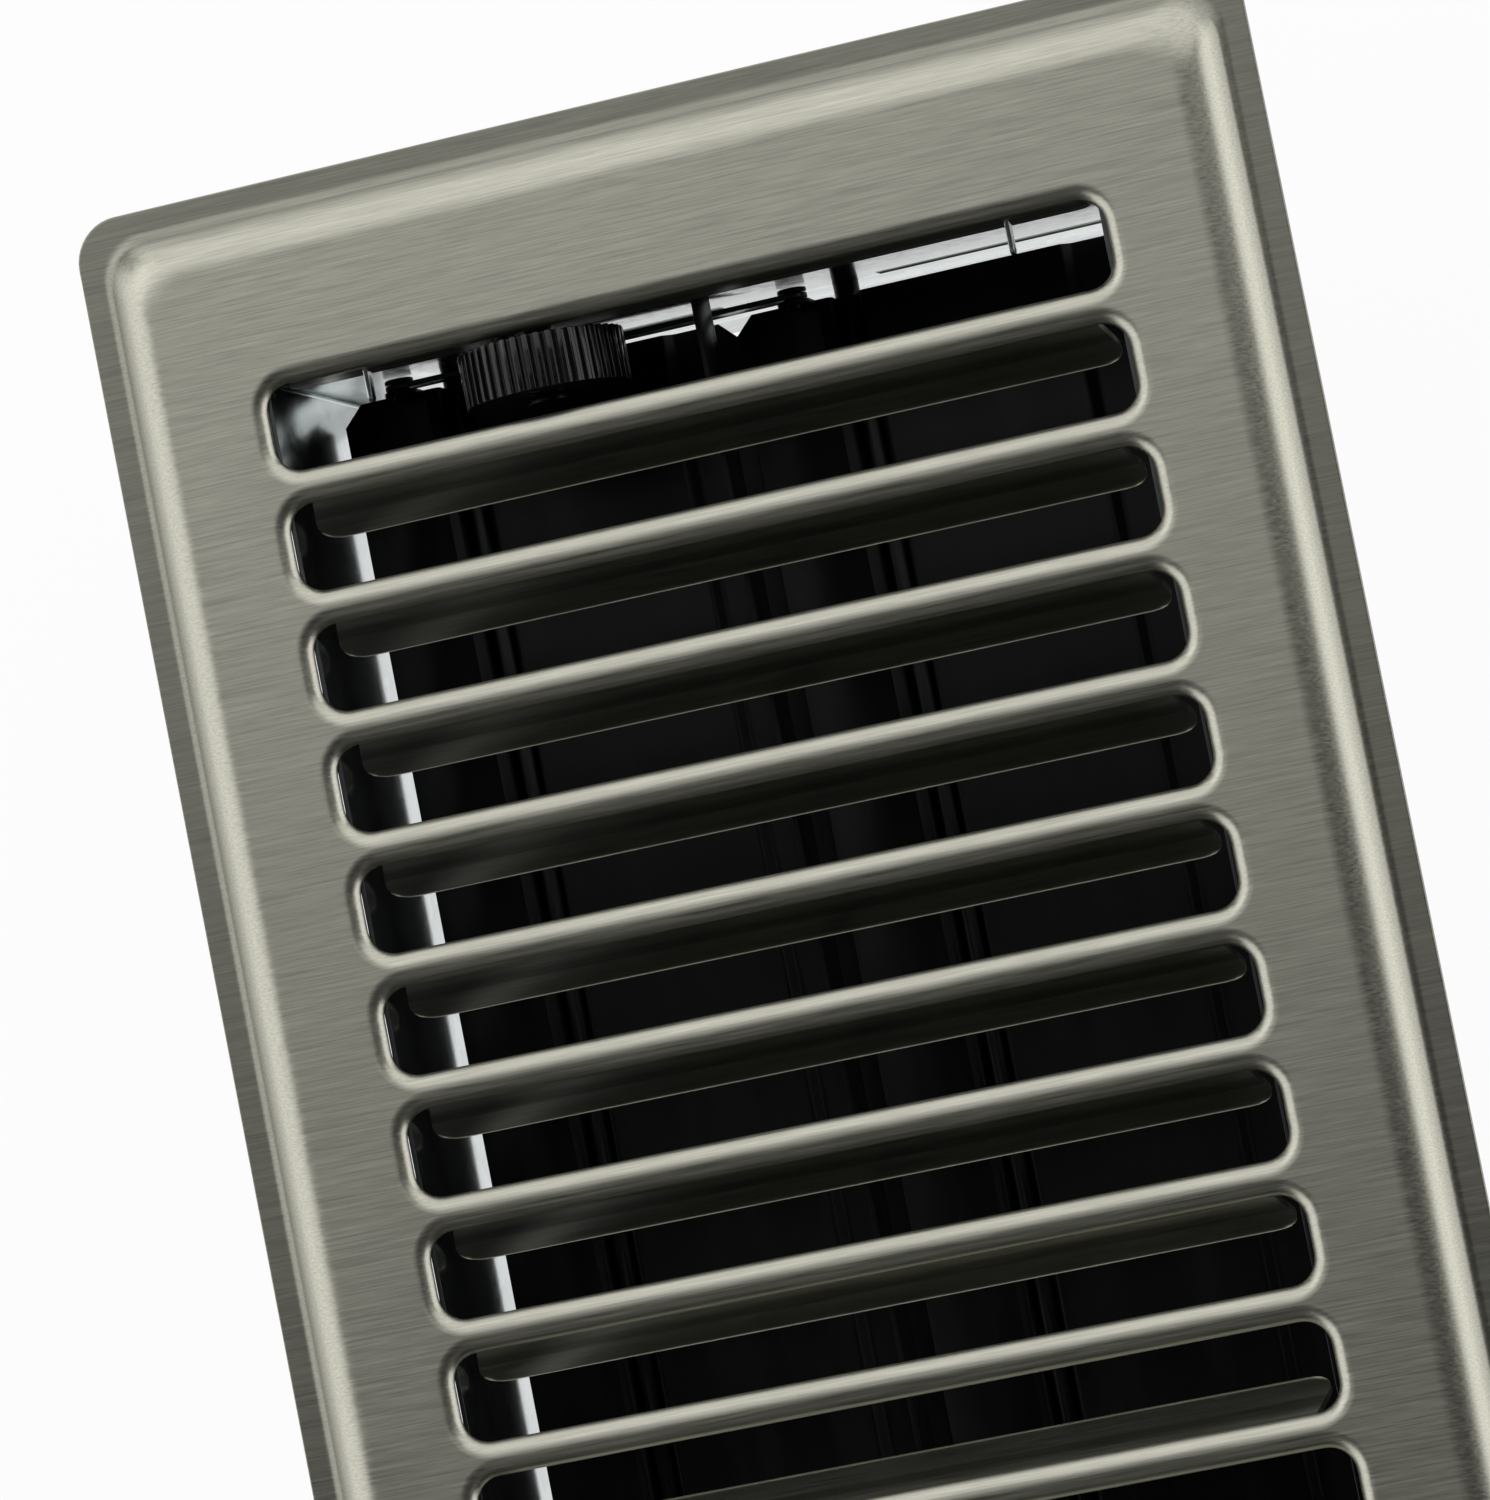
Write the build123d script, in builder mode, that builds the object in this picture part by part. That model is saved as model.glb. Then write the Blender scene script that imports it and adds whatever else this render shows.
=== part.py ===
from build123d import *
import os
from math import atan, cos, radians, sin, tan

# Floor register for a 4 by 10 inch duct opening, in millimetres.
# X runs across the face, Y along it with the thumbwheel at the +Y end, Z up.
# The origin is the middle of the face at floor level, where its rim rests.

# Face: one pressed sheet, with a flat lip on the floor and a sloping step up to the panel
face_width = 138.1
face_length = 295.2
face_corner = 5.2
face_rise = 4.0
face_sheet = 0.8
rim_lip = 2.7
rim_slope = 5.0
rim_bend = 2.2  # inside radius of the bend beside the lip
crown_bend = 4.0  # inside radius of the bend beside the panel
step_corner = 3.4

# Louvre slots: each opening has a rolled lip all round and a fin that hangs from its outer side
slot_count = 18
slot_pitch = 14.0
slot_length = 98.8
slot_width = 10.0
slot_corner = 3.0
lip_bend = 1.9  # outside radius of the rolled lip
fin_length = 7.2
fin_lean = 30.0  # degrees from upright, towards the middle of the face
fin_corner = 3.6
fin_end_gap = 1.0
end_fin_length = 5.4  # the upright fins of the first and the last slot

# Damper box of galvanised sheet: two sides and two end plates, open at the bottom
box_sheet = 0.55
box_depth = 46.0
box_under_lip = 0.2  # from the top of the box to the rolled lips
side_inset = 0.5  # of the sides inside the ends of the slots
end_flange = 14.0
end_bend = 0.5  # inside radius of the end plates' corners
wall_gap = 0.05  # between two sheets that lie on each other
corner_gap = 0.6  # from the end of a side to the end plate

# Locks: tabs lanced from the end plates, which reach through slits in the end fins
lock_place = 38.0
lock_reach = 4.6
lock_length = 7.2
lock_width = 1.6
lock_height = -0.5
lock_clearance = 0.25
lock_corner = 0.5

# Damper blades: rolled sheet on rods, turning about lines along Y
blade_sheet = 0.6
blade_top = -22.6
blade_short = 13.6  # from the pivot to the edge that swings up
blade_flat = 25.8  # from the pivot to the step on the side that swings down
blade_step = 1.4
blade_step_run = 1.2
blade_long = 34.8  # from the pivot to the edge that swings down
blade_corner = 2.4
groove_shoulder = 0.9
pivot_below_top = 2.2
first_pivot = -34.5
pivot_spacing = 48.0
rod_radius = 1.5
rod_seat = 0.03
rod_running = 0.05
rod_reach = 0.7

# Ledges lanced from the end plates over the sides of the blades that swing down
ledge_width = 2.6
ledge_from_pivot = 4.2
ledge_above_blade = 0.4
ledge_end_gap = 0.8
ledge_corner = 1.5

# Linkage: a bar on two riveted pins, with a fork for the pin of the thumbwheel
arm_reach = 7.5  # from a pivot to its link pin, and from the wheel's axle to its crank pin
arm_angle = 45.0  # of the arms above level at rest
link_sheet = 0.6
link_end = 1.7
link_gap = 0.15
pin_radius = 1.0
pin_seat = 0.02
pin_running = 0.05
pin_head_radius = 1.7
pin_head = 0.5
pin_tail = 0.5
head_gap = 0.15  # from the pin heads to the end plate
tab_wall = 0.9  # metal round the pin in a blade's bent-up tab
tab_root = 1.9
fork_prong = 1.3
fork_lead = 0.8  # prongs above the middle of the crank pin at rest

# Thumbwheel: a ribbed disc on a stub axle, standing a little proud of the face
wheel_radius = 9.6
wheel_width = 6.3
wheel_proud = 0.5
wheel_place = -18.6
wheel_gap = 0.25  # to the link bar
rib_count = 44
rib_depth = 0.55
rib_crest = 0.5  # share of each rib's pitch that stands at full radius
crank_pin_end = 0.25
axle_radius = 1.5
axle_running = 0.06
axle_head_radius = 2.7
axle_head = 0.7
axle_play = 0.1

# Centre rib: a strip on edge under the fins, let into both end plates
rib_sheet = 0.6
rib_height = 7.0
rib_seat = 0.05

# Places that follow from the sizes above
first_slot = slot_pitch * (slot_count - 1) / 2
slot_run = first_slot + slot_width / 2
lip_end = face_rise - lip_bend
box_top = lip_end - box_under_lip
end_inner = slot_run + face_sheet + wall_gap
end_outer = end_inner + box_sheet
side_inner = slot_length / 2 - side_inset
side_outer = side_inner + box_sheet
flange_inner = side_outer + wall_gap
pivot_height = blade_top - pivot_below_top
pivots = {"left": first_pivot, "right": first_pivot + pivot_spacing}
arm_across = arm_reach * cos(radians(arm_angle))
arm_up = arm_reach * sin(radians(arm_angle))
head_outer = end_inner - head_gap
head_inner = head_outer - pin_head
link_outer = head_inner - link_gap
link_inner = link_outer - link_sheet
blade_end = link_inner - link_gap
wheel_outer = link_inner - wheel_gap
wheel_inner = wheel_outer - wheel_width
wheel_height = face_rise + wheel_proud - wheel_radius
crank_lift = arm_reach - arm_up  # how far the link rises and the crank pin sinks at mid travel
fin_foot = lip_end - fin_length * cos(radians(fin_lean)) - face_sheet * sin(radians(fin_lean))
rib_top = fin_foot - rib_seat
ledge_underside = blade_top + ledge_above_blade


def cross_plane(y):
    """The upright plane across the register at y, with X to the right and Z up."""
    return Plane(origin=(0, y, 0), x_dir=(1, 0, 0), z_dir=(0, -1, 0))


# Faceplate: the pressed pan
slope_angle = atan((face_rise - face_sheet) / rim_slope)
slope_shift = face_sheet * (1 / cos(slope_angle) - 1) / tan(slope_angle)
foot_inset = 2 * rim_lip
panel_inset = 2 * (rim_lip + rim_slope)
with BuildPart() as pan:
    with BuildSketch():
        RectangleRounded(face_width, face_length, face_corner)
    extrude(amount=face_sheet)
    with BuildSketch(Plane.XY.offset(face_sheet)):
        RectangleRounded(face_width - foot_inset, face_length - foot_inset, step_corner)
    with BuildSketch(Plane.XY.offset(face_rise)):
        RectangleRounded(face_width - panel_inset, face_length - panel_inset, step_corner)
    loft()
    panel_edges = pan.faces().sort_by(Axis.Z)[-1].outer_wire().edges()
    fillet(panel_edges, crown_bend + face_sheet)
    lip_face = pan.faces().filter_by(Axis.Z).sort_by(Axis.Z)[1]
    fillet(lip_face.inner_wires()[0].edges(), rim_bend)

inner_foot = foot_inset + 2 * slope_shift
inner_panel = panel_inset + 2 * slope_shift
with BuildPart() as pan_hollow:
    with BuildSketch():
        RectangleRounded(face_width - inner_foot, face_length - inner_foot, step_corner)
    with BuildSketch(Plane.XY.offset(face_rise - face_sheet)):
        RectangleRounded(face_width - inner_panel, face_length - inner_panel, step_corner)
    loft()
    fillet(pan_hollow.faces().sort_by(Axis.Z)[-1].edges(), crown_bend)

# One slot's throat, about the origin: the air that the rolled lip turns down around
roll_sections = (0, 45, 90)  # degrees round the roll
with BuildPart() as throat:
    for turn in roll_sections:
        out = lip_bend * (1 - sin(radians(turn)))
        with BuildSketch(Plane.XY.offset(lip_end + lip_bend * cos(radians(turn)))):
            RectangleRounded(slot_length + 2 * out, slot_width + 2 * out, slot_corner + out)
    loft(ruled=True)


def hung_fin(lean, length, corner):
    """A fin for a slot about the origin: it goes on from the rolled lip of the +Y side and leans to -Y."""
    inner = slot_width / 2
    outer = inner + face_sheet
    reach = (length * sin(radians(lean)), length * cos(radians(lean)))
    back = (face_sheet * cos(radians(lean)), face_sheet * sin(radians(lean)))
    tip = (inner - reach[0], lip_end - reach[1])
    with BuildPart() as fin:
        with BuildSketch(Plane.YZ):
            with BuildLine():
                Polyline(
                    (inner, face_rise - face_sheet),
                    (inner, lip_end),
                    tip,
                    (tip[0] + back[0], tip[1] - back[1]),
                    (outer, lip_end - face_sheet * tan(radians(lean / 2))),
                    (outer, face_rise - face_sheet),
                    close=True,
                )
            make_face()
        extrude(amount=slot_length / 2 - fin_end_gap, both=True)
        tip_edges = fin.faces().sort_by(Axis.Z)[0].edges()
        fillet([edge for edge in tip_edges if edge not in tip_edges.filter_by(Axis.X)], corner)
    return fin.part


plain_fin = hung_fin(fin_lean, fin_length, fin_corner)

# The end fins are upright, with a slit for each lock
slit_length = lock_length + box_sheet / 2 + 2 * lock_clearance
slit_place = lock_place + box_sheet / 2 + lock_clearance - slit_length / 2
with BuildPart() as end_fin:
    add(hung_fin(0, end_fin_length, fin_corner))
    with BuildSketch(cross_plane(slot_width)):
        with Locations((slit_place, lock_height), (-slit_place, lock_height)):
            Rectangle(slit_length, lock_width + 2 * lock_clearance)
    extrude(amount=slot_width, mode=Mode.SUBTRACT)

half_count = slot_count // 2
with BuildPart() as faceplate:
    add(pan.part)
    add(pan_hollow.part, mode=Mode.SUBTRACT)
    with BuildSketch(Plane.XY.offset(lip_end)):
        with GridLocations(0, slot_pitch, 1, slot_count):
            Rectangle(slot_length + 2 * face_sheet, slot_width + 2 * face_sheet)
    extrude(amount=lip_bend - face_sheet)
    for row in range(half_count):
        fin = end_fin.part if row == half_count - 1 else plain_fin
        slot_place = slot_pitch * (row + 0.5)
        with Locations((0, slot_place, 0)):
            add(fin)
        with Locations(Location((0, -slot_place, 0), (0, 0, 180))):
            add(fin)
    with GridLocations(0, slot_pitch, 1, slot_count):
        add(throat.part, mode=Mode.SUBTRACT)

# Sides of the damper box: plain strips between the end plates
side_length = 2 * (end_inner - corner_gap)
sides = {}
for hand, turn in (("left", -1), ("right", 1)):
    with BuildPart() as side:
        with BuildSketch(Plane.XY.offset(-box_depth)):
            with Locations((turn * (side_inner + side_outer) / 2, 0)):
                Rectangle(box_sheet, side_length)
        extrude(amount=box_depth + box_top)
    sides[hand] = side.part


# Each ledge covers the long side of its blade, up to the next blade or the side of the box
ledges = [
    (pivots["left"] + ledge_from_pivot, pivots["right"] - blade_short - ledge_end_gap),
    (pivots["right"] + ledge_from_pivot, side_inner - ledge_end_gap),
]


def end_plate(turn, axle_hole):
    """An end plate: a folded sheet with corner flanges, pivot holes, ledges, locks and the rib's notch."""
    inward = Location((0, 0, 0), (0, 0, 0 if turn > 0 else 180))
    with BuildPart() as plate:
        with BuildSketch(Plane.XY.offset(-box_depth)):
            with BuildLine():
                FilletPolyline(
                    (-flange_inner, end_inner - end_flange),
                    (-flange_inner, end_inner),
                    (flange_inner, end_inner),
                    (flange_inner, end_inner - end_flange),
                    radius=end_bend,
                )
                offset(amount=box_sheet, side=Side.LEFT)
            make_face()
        extrude(amount=box_depth + box_top)
        with BuildSketch(cross_plane(end_outer)):
            for pivot in pivots.values():
                with Locations((turn * pivot, pivot_height)):
                    Circle(rod_radius + rod_running)
            for start, end in ledges:
                with Locations((turn * (start + end) / 2, ledge_underside - ledge_width / 2)):
                    Rectangle(end - start, ledge_width)
            for side_sign in (-1, 1):
                with Locations((side_sign * (lock_place - lock_length / 2), lock_height)):
                    Rectangle(lock_length, lock_width)
            with Locations((0, rib_top - rib_height / 2)):
                Rectangle(rib_sheet + 2 * rib_seat, rib_height + 2 * rib_seat)
            if axle_hole:
                with Locations((wheel_place, wheel_height)):
                    Circle(axle_radius + pin_seat)
        extrude(amount=box_sheet, mode=Mode.SUBTRACT)
        for start, end in ledges:
            with BuildSketch(Plane.XY.offset(ledge_underside)) as ledge:
                with Locations((turn * (start + end) / 2, end_outer - (ledge_width + box_sheet) / 2)):
                    Rectangle(end - start, ledge_width + box_sheet)
                chamfer(ledge.vertices().group_by(Axis.Y)[0], ledge_corner)
            extrude(amount=box_sheet)
        for side_sign in (-1, 1):
            lock_side = Plane(origin=(side_sign * lock_place, 0, 0), x_dir=(0, 1, 0), z_dir=(1, 0, 0))
            with BuildSketch(lock_side) as lock:
                with Locations((end_outer - (lock_reach + box_sheet) / 2, lock_height)):
                    Rectangle(lock_reach + box_sheet, lock_width)
                chamfer(lock.vertices().group_by(Axis.X)[0], lock_corner)
            extrude(amount=box_sheet / 2, both=True)
    return inward * plate.part


end_plates = {"front": end_plate(1, True), "back": end_plate(-1, False)}

# Centre rib under the fins
with BuildPart() as centre_rib:
    with BuildSketch(cross_plane(0)):
        with Locations((0, rib_top - rib_height / 2)):
            Rectangle(rib_sheet, rib_height)
    extrude(amount=end_outer, both=True)


def blade(pivot):
    """A damper blade: sheet rolled into a groove for its rod, stepped beside its long edge, with a link tab."""
    blade_plane = Plane(origin=(pivot, 0, pivot_height), x_dir=(1, 0, 0), z_dir=(0, -1, 0))
    groove = rod_radius + rod_seat
    step_start = (blade_flat, pivot_below_top)
    step_end = (blade_flat + blade_step_run, pivot_below_top - blade_step)
    with BuildPart() as sheet:
        with BuildSketch(blade_plane):
            with BuildLine():
                FilletPolyline(
                    (-blade_short, pivot_below_top), (-groove, pivot_below_top), (-groove, 0), radius=groove_shoulder
                )
                CenterArc((0, 0), groove, 180, 180)
                FilletPolyline(
                    (groove, 0),
                    (groove, pivot_below_top),
                    step_start,
                    step_end,
                    (blade_long, step_end[1]),
                    radius=groove_shoulder,
                )
                offset(amount=blade_sheet, side=Side.RIGHT)
            make_face()
        extrude(amount=blade_end, both=True)
        chamfer(sheet.edges().filter_by(Axis.Z).group_by(Axis.X)[0], blade_corner)
        chamfer(sheet.edges().filter_by(Axis.Z).group_by(Axis.X)[-1], blade_corner)
        with BuildSketch(Plane(origin=(pivot, blade_end, pivot_height), x_dir=(1, 0, 0), z_dir=(0, -1, 0))):
            with Locations((-arm_across, arm_up)):
                Circle(pin_radius + tab_wall)
            with Locations((-arm_across, pivot_below_top - blade_sheet / 2)):
                Rectangle(2 * tab_root, blade_sheet)
            make_hull()
            with Locations((-arm_across, arm_up)):
                Circle(pin_radius + pin_seat, mode=Mode.SUBTRACT)
        extrude(amount=blade_sheet)
    return sheet.part


def turned_along(x, z, stations):
    """A turned piece about the line along Y through x and z, from (y, radius) stations."""
    with BuildPart() as turned:
        with BuildSketch(Plane(origin=(x, 0, z), x_dir=(0, 1, 0), z_dir=(1, 0, 0))):
            with BuildLine():
                Polyline((stations[0][0], 0), *stations, (stations[-1][0], 0), close=True)
            make_face()
        revolve(axis=Axis((x, 0, z), (0, 1, 0)))
    return turned.part


rod_half = end_outer + rod_reach
blades = {}
rods = {}
link_pins = {}
for hand, pivot in pivots.items():
    blades[hand] = blade(pivot)
    rods[hand] = turned_along(pivot, pivot_height, [(-rod_half, rod_radius), (rod_half, rod_radius)])
    link_pins[hand] = turned_along(
        pivot - arm_across,
        pivot_height + arm_up,
        [
            (blade_end - blade_sheet - pin_tail, pin_radius),
            (head_inner, pin_radius),
            (head_inner, pin_head_radius),
            (head_outer, pin_head_radius),
        ],
    )

# Link bar: straight between the two pins, with an open fork that stands up behind the thumbwheel
link_height = pivot_height + arm_up
crank_place = wheel_place - arm_across
crank_height = wheel_height - arm_up
fork_width = 2 * (pin_radius + pin_running)
fork_top = crank_height + fork_lead
fork_floor = crank_height - 2 * crank_lift - pin_radius - link_gap
with BuildPart() as link_bar:
    with BuildSketch(cross_plane(link_outer)):
        for pivot in pivots.values():
            with Locations((pivot - arm_across, link_height)):
                Circle(link_end)
        make_hull()
        with Locations((crank_place, (link_height + fork_top) / 2)):
            Rectangle(fork_width + 2 * fork_prong, fork_top - link_height)
        with Locations((crank_place, (fork_floor + fork_top) / 2)):
            Rectangle(fork_width, fork_top - fork_floor, mode=Mode.SUBTRACT)
        for pivot in pivots.values():
            with Locations((pivot - arm_across, link_height)):
                Circle(pin_radius + pin_running, mode=Mode.SUBTRACT)
    extrude(amount=link_sheet)

# Stub axle of the thumbwheel, headed inside the wheel and riveted into the end plate
wheel_axle = turned_along(
    wheel_place,
    wheel_height,
    [
        (wheel_inner - axle_play - axle_head, axle_head_radius),
        (wheel_inner - axle_play, axle_head_radius),
        (wheel_inner - axle_play, axle_radius),
        (end_outer + rod_reach, axle_radius),
    ],
)

# Thumbwheel: a moulded disc with ribs round its rim and the crank pin on its outer face
rib_turn = 360 / rib_count
with BuildPart() as thumbwheel:
    with BuildSketch(Plane(origin=(wheel_place, wheel_outer, wheel_height), x_dir=(1, 0, 0), z_dir=(0, -1, 0))):
        Circle(wheel_radius)
        with PolarLocations(wheel_radius, rib_count):
            Rectangle(2 * rib_depth, wheel_radius * radians(rib_turn) * (1 - rib_crest), mode=Mode.SUBTRACT)
        Circle(axle_radius + axle_running, mode=Mode.SUBTRACT)
    extrude(amount=wheel_width)
    with BuildSketch(Plane(origin=(crank_place, wheel_outer, crank_height), x_dir=(1, 0, 0), z_dir=(0, 1, 0))):
        Circle(pin_radius)
    extrude(amount=link_outer + crank_pin_end - wheel_outer)

pieces = {
    "faceplate": faceplate.part,
    "side_left": sides["left"],
    "side_right": sides["right"],
    "end_plate_front": end_plates["front"],
    "end_plate_back": end_plates["back"],
    "centre_rib": centre_rib.part,
    "wheel_axle": wheel_axle,
    "thumbwheel": thumbwheel.part,
    "blade_left": blades["left"],
    "blade_right": blades["right"],
    "blade_rod_left": rods["left"],
    "blade_rod_right": rods["right"],
    "link_bar": link_bar.part,
    "link_pin_left": link_pins["left"],
    "link_pin_right": link_pins["right"],
}
os.makedirs("parts", exist_ok=True)
for name, piece in pieces.items():
    piece.label = name
    export_step(piece, f"parts/{name}.step")
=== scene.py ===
from math import copysign, cos, radians, sin, tan

import bmesh
import bpy
from mathutils import Matrix, Vector


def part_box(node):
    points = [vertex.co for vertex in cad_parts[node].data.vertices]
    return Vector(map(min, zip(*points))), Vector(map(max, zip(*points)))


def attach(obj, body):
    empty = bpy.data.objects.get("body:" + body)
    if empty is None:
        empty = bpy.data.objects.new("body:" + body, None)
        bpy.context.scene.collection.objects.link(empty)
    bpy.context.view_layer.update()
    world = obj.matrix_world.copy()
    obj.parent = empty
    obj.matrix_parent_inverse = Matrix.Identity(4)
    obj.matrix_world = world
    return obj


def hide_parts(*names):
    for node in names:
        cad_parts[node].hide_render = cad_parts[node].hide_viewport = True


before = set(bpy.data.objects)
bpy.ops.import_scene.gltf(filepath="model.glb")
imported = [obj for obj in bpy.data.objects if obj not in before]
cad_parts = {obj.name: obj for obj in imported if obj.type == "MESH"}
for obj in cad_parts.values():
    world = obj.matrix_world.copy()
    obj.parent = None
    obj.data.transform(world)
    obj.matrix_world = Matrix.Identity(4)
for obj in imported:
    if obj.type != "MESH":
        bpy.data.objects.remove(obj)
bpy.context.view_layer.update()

# Faceplate: one sheet of steel in brushed nickel plate. The press draws a step inside its flat lip,
# pierces eighteen slots and rolls their edges down, and one fin hangs from the outer side of each slot.
# It lies on the floor by its lip, and the damper box is hooked to the fins at its two ends.
face_low, face_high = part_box("faceplate")
face_rise = face_high.z
face_sheet = 0.0008
face_corner = 0.0052
face_corner_segments = 10
lip_width = 0.00245
rim_lean = radians(45)
foot_bend = 0.0018
crown_bend = 0.0060
rim_segments = 8
slot_rows = 18
slot_pitch = 0.0140
slot_size = Vector((0.0988, 0.0100))
slot_corner = 0.0030
slot_corner_segments = 8
roll_bend = 0.00215
roll_turn = radians(62)
roll_segments = 7
flat_ring = 0.00008  # keeps the lip and the panel flat up to their bends
fin_length = 0.0078
fin_corner = 0.0036
fin_corner_segments = 6
fin_end_gap = 0.0010
end_fin_bend = 0.0015
end_fin_foot = -0.0033
end_fin_segments = 3
cut_edge = 0.00010  # rounding of the sheared edges
edge_ring = 2 * cut_edge  # keeps the lip flat up to its sheared edge
burr_root = 0.00002
burr_height = 0.00012
burr_reach = 0.6  # share of a fin's round corners, up from its tip, that the burr runs along
same_height = 0.000001


def rounded_plate(shape, centre, size, corner, segments):
    """Adds one flat face with round corners to a shape and returns it."""
    place = Matrix.Translation(centre) @ Matrix.Diagonal((size.x / 2, size.y / 2, 1, 1))
    corners = bmesh.ops.create_grid(shape, x_segments=1, y_segments=1, size=1, matrix=place)["verts"]
    bmesh.ops.bevel(
        shape, geom=corners, offset=corner, affect="VERTICES", segments=segments, profile=0.5, material=-1
    )
    shape.faces.ensure_lookup_table()
    return shape.faces[-1]


def step_in(shape, plate, inward, up):
    """Rings a plate with a strip, and moves the plate inwards, its corners kept as round, and up."""
    bmesh.ops.inset_region(shape, faces=[plate], thickness=0, use_even_offset=True, use_boundary=True)
    for corner in plate.verts:
        corner.co -= Vector((copysign(inward, corner.co.x), copysign(inward, corner.co.y), -up))


def bend_in(shape, plate, radius, first_slope, last_slope):
    """Rings a plate with a bend from one slope to another, and carries the plate along."""
    slopes = [
        first_slope + (last_slope - first_slope) * step / rim_segments for step in range(rim_segments + 1)
    ]
    for here, there in zip(slopes, slopes[1:]):
        step_in(shape, plate, radius * abs(sin(there) - sin(here)), radius * abs(cos(there) - cos(here)))


def grown_sheet(shape, edges, across, down):
    """Extrudes free edges of a sheet along Y and down, and returns the new edges and vertices."""
    grown = bmesh.ops.extrude_edge_only(shape, edges=edges)["geom"]
    tips = [part for part in grown if isinstance(part, bmesh.types.BMVert)]
    bmesh.ops.translate(shape, verts=tips, vec=(0, across, -down))
    grown_edges = [part for part in grown if isinstance(part, bmesh.types.BMEdge)]
    tip_edges = [edge for edge in grown_edges if all(end in tips for end in edge.verts)]
    return tip_edges, tips


def free_edges_at(shape, heights):
    """The free edges of a sheet that lie level at one of the heights."""
    return [
        edge
        for edge in shape.edges
        if edge.is_boundary
        and any(all(abs(end.co.z - height) < same_height for end in edge.verts) for height in heights)
    ]


def round_edges(shape, edges, radius):
    """Rounds edges of a shape a little."""
    bmesh.ops.bevel(
        shape,
        geom=edges,
        offset=radius,
        affect="EDGES",
        segments=2,
        profile=0.5,
        material=-1,
        clamp_overlap=True,
    )


def made_object(name, shape, crease=50):
    """An object from a shape, shaded smooth apart from edges sharper than the crease, in degrees."""
    mesh = bpy.data.meshes.new(name)
    shape.to_mesh(mesh)
    shape.free()
    mesh.shade_smooth()
    mesh.set_sharp_from_angle(angle=radians(crease))
    piece = bpy.data.objects.new(name, mesh)
    bpy.context.scene.collection.objects.link(piece)
    return piece


sheet_shape = bmesh.new()
face_size = (face_high - face_low).to_2d()
plate = rounded_plate(sheet_shape, (0, 0, face_sheet), face_size, face_corner, face_corner_segments)
for ring in (edge_ring, lip_width - edge_ring - flat_ring, flat_ring):
    step_in(sheet_shape, plate, ring, 0)
bend_in(sheet_shape, plate, foot_bend, 0, rim_lean)
straight_rise = face_rise - face_sheet - (foot_bend + crown_bend) * (1 - cos(rim_lean))
step_in(sheet_shape, plate, straight_rise / tan(rim_lean), straight_rise)
bend_in(sheet_shape, plate, crown_bend, rim_lean, 0)
step_in(sheet_shape, plate, flat_ring, 0)
bmesh.ops.delete(sheet_shape, geom=[plate], context="FACES_ONLY")

roll_reach = roll_bend * sin(roll_turn) + flat_ring
roll_size = slot_size + 2 * Vector((roll_reach, roll_reach))
roll_corner = slot_corner + roll_reach
fin_lean = radians(90) - roll_turn
burrs = []
for row in range(slot_rows):
    at_end = row in (0, slot_rows - 1)
    slot_place = slot_pitch * (row - (slot_rows - 1) / 2)
    outward = copysign(1, slot_place)
    opening = rounded_plate(
        sheet_shape, (0, slot_place, face_rise), roll_size, roll_corner, slot_corner_segments
    )
    bmesh.ops.inset_region(
        sheet_shape, faces=[opening], thickness=flat_ring, use_even_offset=True, use_boundary=True
    )
    for bend in range(roll_segments):
        here, there = (roll_turn * step / roll_segments for step in (bend, bend + 1))
        bmesh.ops.inset_region(
            sheet_shape,
            faces=[opening],
            thickness=roll_bend * (sin(there) - sin(here)),
            depth=roll_bend * (cos(there) - cos(here)),
            use_even_offset=True,
            use_boundary=True,
        )
    hinge = max(opening.edges, key=lambda edge: outward * sum(corner.co.y for corner in edge.verts))
    bmesh.ops.delete(sheet_shape, geom=[opening], context="FACES_ONLY")
    tip_edges = [hinge]
    if at_end:
        for bend in range(end_fin_segments):
            here, there = (roll_turn + fin_lean * step / end_fin_segments for step in (bend, bend + 1))
            tip_edges, tips = grown_sheet(
                sheet_shape,
                tip_edges,
                -outward * end_fin_bend * (sin(there) - sin(here)),
                end_fin_bend * (cos(here) - cos(there)),
            )
        tips = grown_sheet(sheet_shape, tip_edges, 0, tips[0].co.z - end_fin_foot)[1]
    else:
        tips = grown_sheet(
            sheet_shape, tip_edges, -outward * fin_length * sin(fin_lean), fin_length * cos(fin_lean)
        )[1]
    for tip in tips:
        tip.co.x = copysign(slot_size.x / 2 - fin_end_gap, tip.co.x)
    fin_foot = tips[0].co.z
    bmesh.ops.bevel(
        sheet_shape,
        geom=tips,
        offset=fin_corner,
        affect="VERTICES",
        segments=fin_corner_segments,
        profile=0.5,
        material=-1,
    )
    if not at_end:
        burr_top = fin_foot + burr_reach * fin_corner * cos(fin_lean)
        tip_edges = [
            edge
            for edge in sheet_shape.edges
            if edge.is_boundary
            and max(end.co.z for end in edge.verts) < burr_top
            and abs(edge.verts[0].co.y - slot_place) < slot_pitch / 2
        ]
        tips = grown_sheet(
            sheet_shape, tip_edges, -outward * burr_root * sin(fin_lean), burr_root * cos(fin_lean)
        )[1]
        burrs.append((tips, Vector((0, -outward * cos(fin_lean), sin(fin_lean))) * burr_height))
panel_outline = free_edges_at(sheet_shape, (face_rise,))
bmesh.ops.triangle_fill(sheet_shape, edges=panel_outline, use_beauty=True, normal=(0, 0, 1))
bmesh.ops.recalc_face_normals(sheet_shape, faces=sheet_shape.faces)
roll_end = face_rise - roll_bend * (1 - cos(roll_turn))
sheared = free_edges_at(sheet_shape, (roll_end, face_sheet))
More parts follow.
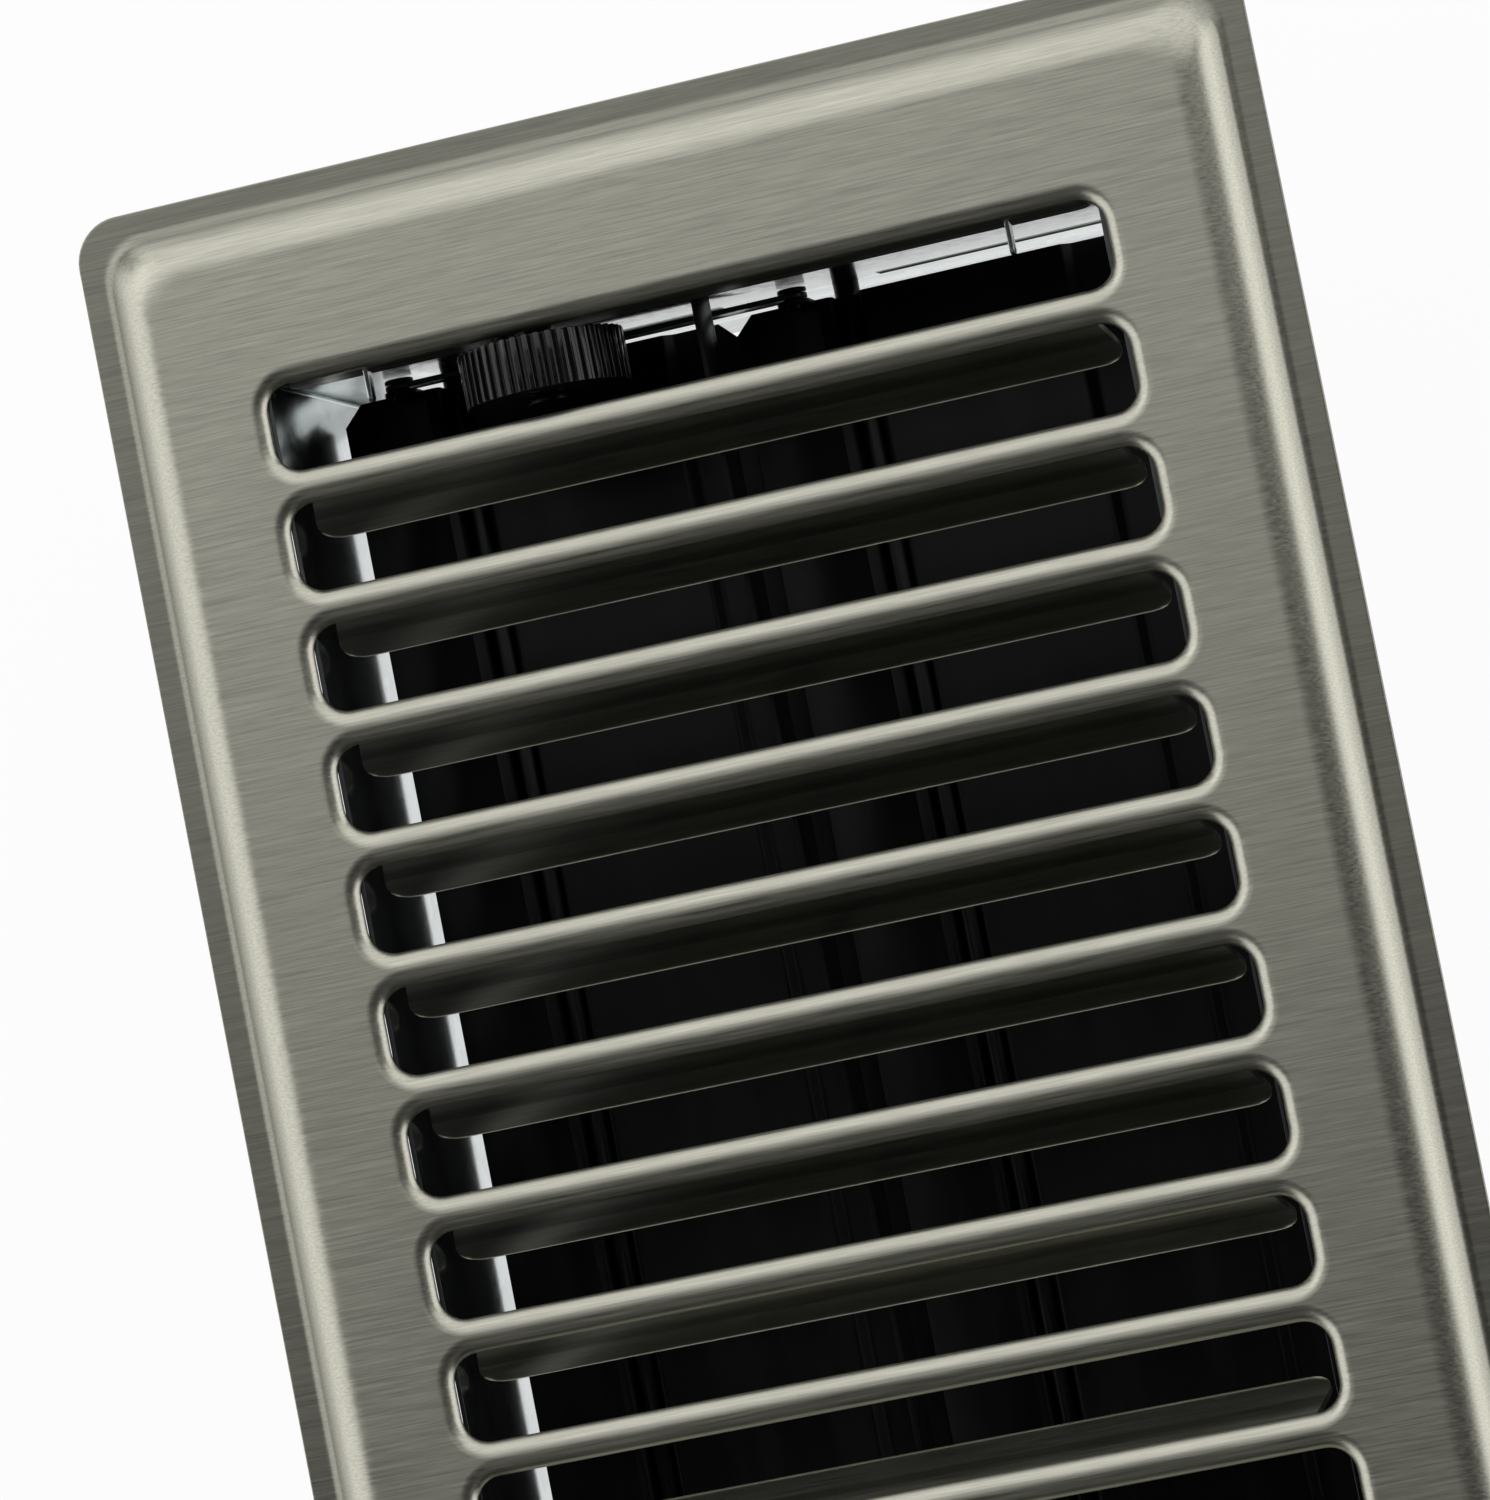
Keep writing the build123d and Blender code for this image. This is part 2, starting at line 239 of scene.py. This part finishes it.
bmesh.ops.solidify(sheet_shape, geom=sheet_shape.faces[:], thickness=face_sheet)
for tips, rise in burrs:
    bmesh.ops.translate(sheet_shape, verts=tips, vec=rise)
round_edges(sheet_shape, sheared, cut_edge)
faceplate = made_object("face_sheet", sheet_shape)


def plain_finish(name, colour, metallic, roughness):
    """A material with its shader set to plain values, and its node tree and shader to build on."""
    finish = bpy.data.materials.new(name)
    finish.use_nodes = True
    shader = finish.node_tree.nodes["Principled BSDF"]
    shader.inputs["Base Color"].default_value = (*colour, 1)
    shader.inputs["Metallic"].default_value = metallic
    shader.inputs["Roughness"].default_value = roughness
    return finish, finish.node_tree, shader


def own_place(tree):
    """The piece's own coordinates."""
    return tree.nodes.new("ShaderNodeTexCoord").outputs["Object"]


def grain(tree, stretch, detail=4.0, roughness=0.6):
    """A noise on the piece's own coordinates, with so many cells to the metre along X, Y and Z."""
    mapping = tree.nodes.new("ShaderNodeMapping")
    mapping.inputs["Scale"].default_value = stretch
    noise = tree.nodes.new("ShaderNodeTexNoise")
    noise.inputs["Scale"].default_value = 1
    noise.inputs["Detail"].default_value = detail
    noise.inputs["Roughness"].default_value = roughness
    tree.links.new(own_place(tree), mapping.inputs["Vector"])
    tree.links.new(mapping.outputs["Vector"], noise.inputs["Vector"])
    return noise.outputs["Fac"]


def ranged(tree, value, low, high, source=(0.3, 0.7)):
    """A value spread from low to high."""
    spread = tree.nodes.new("ShaderNodeMapRange")
    spread.inputs["From Min"].default_value = source[0]
    spread.inputs["From Max"].default_value = source[1]
    spread.inputs["To Min"].default_value = low
    spread.inputs["To Max"].default_value = high
    tree.links.new(value, spread.inputs["Value"])
    return spread.outputs["Result"]


def shaded(tree, value, dark, light, source=(0.3, 0.7)):
    """A colour between dark and light that follows a value."""
    ramp = tree.nodes.new("ShaderNodeValToRGB")
    ramp.color_ramp.elements[0].position = source[0]
    ramp.color_ramp.elements[1].position = source[1]
    ramp.color_ramp.elements[0].color = (*dark, 1)
    ramp.color_ramp.elements[1].color = (*light, 1)
    tree.links.new(value, ramp.inputs["Fac"])
    return ramp.outputs["Color"]


def toned(tree, colour, stops):
    """A colour made darker by height. Each stop is a height and the share of the colour left there."""
    level = tree.nodes.new("ShaderNodeSeparateXYZ")
    tree.links.new(own_place(tree), level.inputs["Vector"])
    lowest, highest = stops[0][0], stops[-1][0]
    ramp = tree.nodes.new("ShaderNodeValToRGB")
    for _ in stops[2:]:
        ramp.color_ramp.elements.new(1.0)
    for element, (height, share) in zip(ramp.color_ramp.elements, stops):
        element.position = (height - lowest) / (highest - lowest)
        element.color = (share, share, share, 1)
    tree.links.new(ranged(tree, level.outputs["Z"], 0, 1, (lowest, highest)), ramp.inputs["Fac"])
    tone = tree.nodes.new("ShaderNodeHueSaturation")
    tree.links.new(colour, tone.inputs["Color"])
    tree.links.new(ramp.outputs["Color"], tone.inputs["Value"])
    return tone.outputs["Color"]


def raised(tree, shader, height, distance):
    """Gives a shader a bump of so many metres from a height."""
    bump = tree.nodes.new("ShaderNodeBump")
    bump.inputs["Distance"].default_value = distance
    bump.inputs["Strength"].default_value = 1.0
    tree.links.new(height, bump.inputs["Height"])
    tree.links.new(bump.outputs["Normal"], shader.inputs["Normal"])


brush_dark = (0.310, 0.306, 0.259)
brush_light = (0.490, 0.484, 0.411)
lip_shade_share = 0.58  # painted shade: the lip is darkened by height, and the darkening clears up the slope; the fins are darkened too where they pass the same heights
lip_shade_tones = ((-0.0005, 1.0), (0.0, lip_shade_share), (0.0010, lip_shade_share), (0.0022, 1.0))
nickel, tree, shader = plain_finish(
    "brushed_nickel", colour=(0.40, 0.395, 0.335), metallic=1.0, roughness=0.30
)
brush = grain(tree, stretch=(110, 4200, 4200), detail=5.0, roughness=0.7)
brushed = shaded(tree, brush, brush_dark, brush_light)
# painted shade on the lip and the foot of the slope, from their height
tree.links.new(toned(tree, brushed, lip_shade_tones), shader.inputs["Base Color"])
tree.links.new(ranged(tree, brush, low=0.29, high=0.39), shader.inputs["Roughness"])
raised(tree, shader, brush, distance=0.000002)
faceplate.data.materials.append(nickel)
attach(faceplate, "root")
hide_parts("faceplate")

# Damper box: two long sides and two end plates of galvanised sheet, open at the bottom, with the plates'
# flanges folded over the ends of the sides. Tabs lanced from the end plates catch the end fins of the face
# and hold the box up under it.
box_pieces = {
    "side_left": "box_side_left",
    "side_right": "box_side_right",
    "end_plate_front": "box_end_front",
    "end_plate_back": "box_end_back",
}
box_sheet = 0.00055
box_edge = 0.00008  # rounding of the cut edges
box_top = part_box("side_left")[1].z
top_band = 0.0002  # holds all corners of a side's top edge
side_lift = 0.0008  # the sides reach up to the rolled lips of the slots
side_top = box_top + side_lift
end_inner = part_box("end_plate_front")[1].y - box_sheet
ledge_band = (-0.0223, -0.0215)  # heights between which the thin ledges of the solids lie
inner_margin = 0.0001  # spares the corners on the plates' inner faces
weld_gap = 0.000002
flat_angle = 0.5  # degrees


def softened(node, name, rounding, crease=50, trimmed=None):
    """A welded copy of a frame node, less what is trimmed off, its sharp edges rounded a little."""
    shape = bmesh.new()
    shape.from_mesh(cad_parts[node].data)
    bmesh.ops.remove_doubles(shape, verts=shape.verts, dist=weld_gap)
    bmesh.ops.dissolve_limit(shape, angle_limit=radians(flat_angle), verts=shape.verts, edges=shape.edges)
    if trimmed:
        cut_off = [corner for corner in shape.verts if trimmed(corner.co)]
        bmesh.ops.delete(shape, geom=cut_off, context="VERTS")
        bmesh.ops.holes_fill(shape, edges=[edge for edge in shape.edges if edge.is_boundary])
    sharp = [edge for edge in shape.edges if edge.is_manifold and edge.calc_face_angle() > radians(crease)]
    round_edges(shape, sharp, rounding)
    return made_object(name, shape, crease)


def is_ledge(place):
    """Whether a corner lies on one of the end plates' thin ledges, inside the plate and at their level."""
    return abs(place.y) < end_inner - inner_margin and ledge_band[0] < place.z < ledge_band[1]


galvanised, tree, shader = plain_finish(
    "galvanised_sheet", colour=(0.60, 0.64, 0.64), metallic=1.0, roughness=0.10
)
spangle = tree.nodes.new("ShaderNodeTexVoronoi")
spangle.inputs["Scale"].default_value = 260
tree.links.new(own_place(tree), spangle.inputs["Vector"])
spangle_dark = (0.57, 0.61, 0.61)
spangle_light = (0.63, 0.67, 0.67)
spangled = shaded(tree, spangle.outputs["Color"], spangle_dark, spangle_light, source=(0.2, 0.8))
edge_shade_depth = 0.00003
edge_shade_share = 0.05  # painted shade: the sides' top edge, cut through the zinc, is painted near black for the dark gap beside the slots' lips
edge_shade_tones = ((side_top - box_edge, 1.0), (side_top - edge_shade_depth, edge_shade_share))
# painted shade along the sides' top edge
tree.links.new(toned(tree, spangled, edge_shade_tones), shader.inputs["Base Color"])
zinc_grain = grain(tree, stretch=(900, 900, 900))
tree.links.new(ranged(tree, zinc_grain, low=0.16, high=0.25), shader.inputs["Roughness"])
raised(tree, shader, zinc_grain, distance=0.000001)
for node, name in box_pieces.items():
    piece = softened(node, name, box_edge, trimmed=is_ledge)
    if node.startswith("side"):
        for corner in piece.data.vertices:
            if corner.co.z > box_top - top_band:
                corner.co.z += side_lift
    piece.data.materials.append(galvanised)
    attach(piece, "root")
    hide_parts(node)

# Centre rib: a strip of blackened steel on edge, let into both end plates, that stiffens the fins from below.
# It is slit from coil, with a fine rolled grain along it.
rib_edge = 0.0001


def patterned(tree, shader, value, dark, light, roughness, source=(0.3, 0.7)):
    """Lets a shader's grey follow a value from dark to light, and its roughness from low to high."""
    grey = shaded(tree, value, (dark, dark, dark), (light, light, light), source)
    tree.links.new(grey, shader.inputs["Base Color"])
    tree.links.new(ranged(tree, value, *roughness), shader.inputs["Roughness"])


rib_black, tree, shader = plain_finish(
    "blackened_strip", colour=(0.006, 0.006, 0.006), metallic=0.0, roughness=0.40
)
shader.inputs["Specular IOR Level"].default_value = 0.02
roll_grain = grain(tree, stretch=(2500, 40, 2500))
patterned(tree, shader, roll_grain, dark=0.004, light=0.010, roughness=(0.24, 0.40))
raised(tree, shader, roll_grain, distance=0.000003)
rib = softened("centre_rib", "stiffening_rib", rib_edge)
rib.data.materials.append(rib_black)
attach(rib, "root")
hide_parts("centre_rib")

# Wires and rivets: the blades' pivot wires, the link's two rivets and the thumbwheel's stub axle.
# They are cut from blackened steel wire, the rivets and the axle with heads, and a fine grain from the
# drawing runs along them.
wire_pieces = {
    "wheel_axle": ("stub_axle", "root"),
    "blade_rod_left": ("pivot_wire_left", "blade_left"),
    "blade_rod_right": ("pivot_wire_right", "blade_right"),
    "link_pin_left": ("link_rivet_left", "blade_left"),
    "link_pin_right": ("link_rivet_right", "blade_right"),
}
wire_edge = 0.0001
wire_black, tree, shader = plain_finish(
    "blackened_wire", colour=(0.03, 0.03, 0.03), metallic=1.0, roughness=0.34
)
draw_grain = grain(tree, stretch=(3000, 120, 3000))
patterned(tree, shader, draw_grain, dark=0.008, light=0.02, roughness=(0.28, 0.42))
raised(tree, shader, draw_grain, distance=0.000003)
for node, (name, body) in wire_pieces.items():
    piece = softened(node, name, wire_edge)
    piece.data.materials.append(wire_black)
    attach(piece, body)
    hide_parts(node)

# Damper blades: two leaves of black-painted sheet, each with a groove rolled round its pivot wire, a stepped
# edge for the lap and a tab bent up for the link's rivet.
# The paint is thin and dull, with dust drawn out along the blade.
blade_edge = 0.00008
blade_paint, tree, shader = plain_finish(
    "black_paint", colour=(0.003, 0.003, 0.003), metallic=0.0, roughness=0.36
)
shader.inputs["Specular IOR Level"].default_value = 0.10
peel = grain(tree, stretch=(700, 260, 700), detail=5.0)
dust = grain(tree, stretch=(160, 30, 160), detail=6.0, roughness=0.7)
patterned(tree, shader, dust, dark=0.002, light=0.006, roughness=(0.30, 0.44), source=(0.45, 0.75))
raised(tree, shader, peel, distance=0.00001)
for node in ("blade_left", "blade_right"):
    piece = softened(node, node.replace("blade", "damper_blade"), blade_edge)
    piece.data.materials.append(blade_paint)
    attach(piece, node)
    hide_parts(node)

# Link bar: a strip of blacked steel on the two rivets, which makes the blades turn together.
# A fork on it stands up behind the thumbwheel for the crank pin, and its blacking is rubbed paler in spots.
link_edge = 0.0001
link_dark = (0.012, 0.012, 0.013)
link_rubbed = (0.05, 0.05, 0.052)
link_black, tree, shader = plain_finish(
    "blacked_strip", colour=(0.02, 0.02, 0.021), metallic=0.6, roughness=0.32
)
link_rub = grain(tree, stretch=(500, 500, 500), detail=5.0)
rubbed = shaded(tree, link_rub, link_dark, link_rubbed, source=(0.45, 0.8))
tree.links.new(rubbed, shader.inputs["Base Color"])
tree.links.new(ranged(tree, link_rub, low=0.25, high=0.42), shader.inputs["Roughness"])
raised(tree, shader, link_rub, distance=0.000008)
link = softened("link_bar", "link_strip", link_edge)
link.data.materials.append(link_black)
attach(link, "link")
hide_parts("link_bar")

# Thumbwheel: a disc moulded in glossy black plastic, with square ribs round its rim for the thumb.
# It turns on the stub axle, and the crank pin on its outer face moves the link.
wheel_edge = 0.00012
wheel_crease = 30  # degrees, less than on the other pieces, which keeps the ribs crisp
wheel_plastic, tree, shader = plain_finish(
    "black_plastic", colour=(0.006, 0.006, 0.006), metallic=0.0, roughness=0.25
)
shader.inputs["Specular IOR Level"].default_value = 0.32
mould = grain(tree, stretch=(1400, 1400, 1400))
patterned(tree, shader, mould, dark=0.004, light=0.009, roughness=(0.08, 0.17))
raised(tree, shader, mould, distance=0.000008)
wheel = softened("thumbwheel", "ribbed_wheel", wheel_edge, wheel_crease)
wheel.data.materials.append(wheel_plastic)
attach(wheel, "thumbwheel")
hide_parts("thumbwheel")

# Floor: a plain pale sheet that the foot of the box stands on.
# It shows as white, also in the metal, and keeps a little of the register's shadow.
floor_half = 4.0
floor_glow = 0.94  # share of the floor's look that is plain white
floor_shape = bmesh.new()
floor_level = Matrix.Translation((0, 0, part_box("side_left")[0].z))
bmesh.ops.create_grid(floor_shape, x_segments=1, y_segments=1, size=floor_half, matrix=floor_level)
floor = made_object("floor", floor_shape)
floor_white, tree, paper = plain_finish("white_floor", colour=(0.9, 0.9, 0.9), metallic=0.0, roughness=0.9)
glow = tree.nodes.new("ShaderNodeEmission")
rays = tree.nodes.new("ShaderNodeLightPath")
seen = rays.outputs["Is Camera Ray"]
for other in ("Is Glossy Ray", "Is Transmission Ray"):
    either = tree.nodes.new("ShaderNodeMath")
    either.operation = "MAXIMUM"
    tree.links.new(seen, either.inputs[0])
    tree.links.new(rays.outputs[other], either.inputs[1])
    seen = either.outputs[0]
share = tree.nodes.new("ShaderNodeMath")
share.operation = "MULTIPLY"
share.inputs[1].default_value = floor_glow
blend = tree.nodes.new("ShaderNodeMixShader")
tree.links.new(seen, share.inputs[0])
tree.links.new(share.outputs[0], blend.inputs["Fac"])
tree.links.new(paper.outputs["BSDF"], blend.inputs[1])
tree.links.new(glow.outputs["Emission"], blend.inputs[2])
tree.links.new(blend.outputs["Shader"], tree.nodes["Material Output"].inputs["Surface"])
floor.data.materials.append(floor_white)

# Light: large soft boxes to the left, to the right and beyond the far end of the face.
# Weak ones stand overhead and on the near side, and the room is dark.
target = Vector((0, 0.06, 0))
box_power = 4.0  # watts to the square metre of a box at level 1
room_grey = 0.03


def soft_box(name, across, along, distance, size, level):
    """An area lamp that leans so many degrees to +X and to +Y from upright, and looks at the face."""
    place = Matrix.Rotation(radians(across), 4, "Y") @ Matrix.Rotation(radians(-along), 4, "X")
    lamp = bpy.data.lights.new(name, "AREA")
    lamp.shape = "RECTANGLE"
    lamp.size, lamp.size_y = size
    lamp.energy = box_power * size[0] * size[1] * level
    box = bpy.data.objects.new(name, lamp)
    box.matrix_world = Matrix.Translation(target) @ place @ Matrix.Translation((0, 0, distance))
    box.visible_camera = False
    bpy.context.scene.collection.objects.link(box)


soft_box("overhead_box", across=-13, along=9, distance=1.5, size=(0.75, 0.5), level=0.52)
soft_box("left_box", across=-64, along=0, distance=1.4, size=(1.3, 2.2), level=1.2)
soft_box("right_box", across=73, along=0, distance=1.4, size=(0.86, 2.2), level=1.5)
soft_box("far_box", across=0, along=54, distance=1.4, size=(2.6, 1.9), level=1.06)
soft_box("near_box", across=0, along=-50, distance=1.4, size=(2.6, 0.7), level=0.06)
room = bpy.data.worlds.new("dark_room")
room.use_nodes = True
room.node_tree.nodes["Background"].inputs["Color"].default_value = (room_grey, room_grey, room_grey, 1)
bpy.context.scene.world = room

# Camera: a long lens that looks down on the thumbwheel's half of the face, a little from the right.
# It is turned about its view, so that the register leans in the frame.
camera_data = bpy.data.cameras.new("camera")
camera_data.lens = 171.2
camera_data.sensor_width = 36
camera_data.clip_start = 0.01
camera = bpy.data.objects.new("camera", camera_data)
camera.rotation_mode = "ZXY"
camera.rotation_euler = (radians(4.266), radians(13.314), radians(-11.135))
camera.location = (0.18066, 0.01289, 0.77625)
bpy.context.scene.collection.objects.link(camera)
bpy.context.scene.camera = camera
bpy.context.scene.view_settings.view_transform = "Standard"
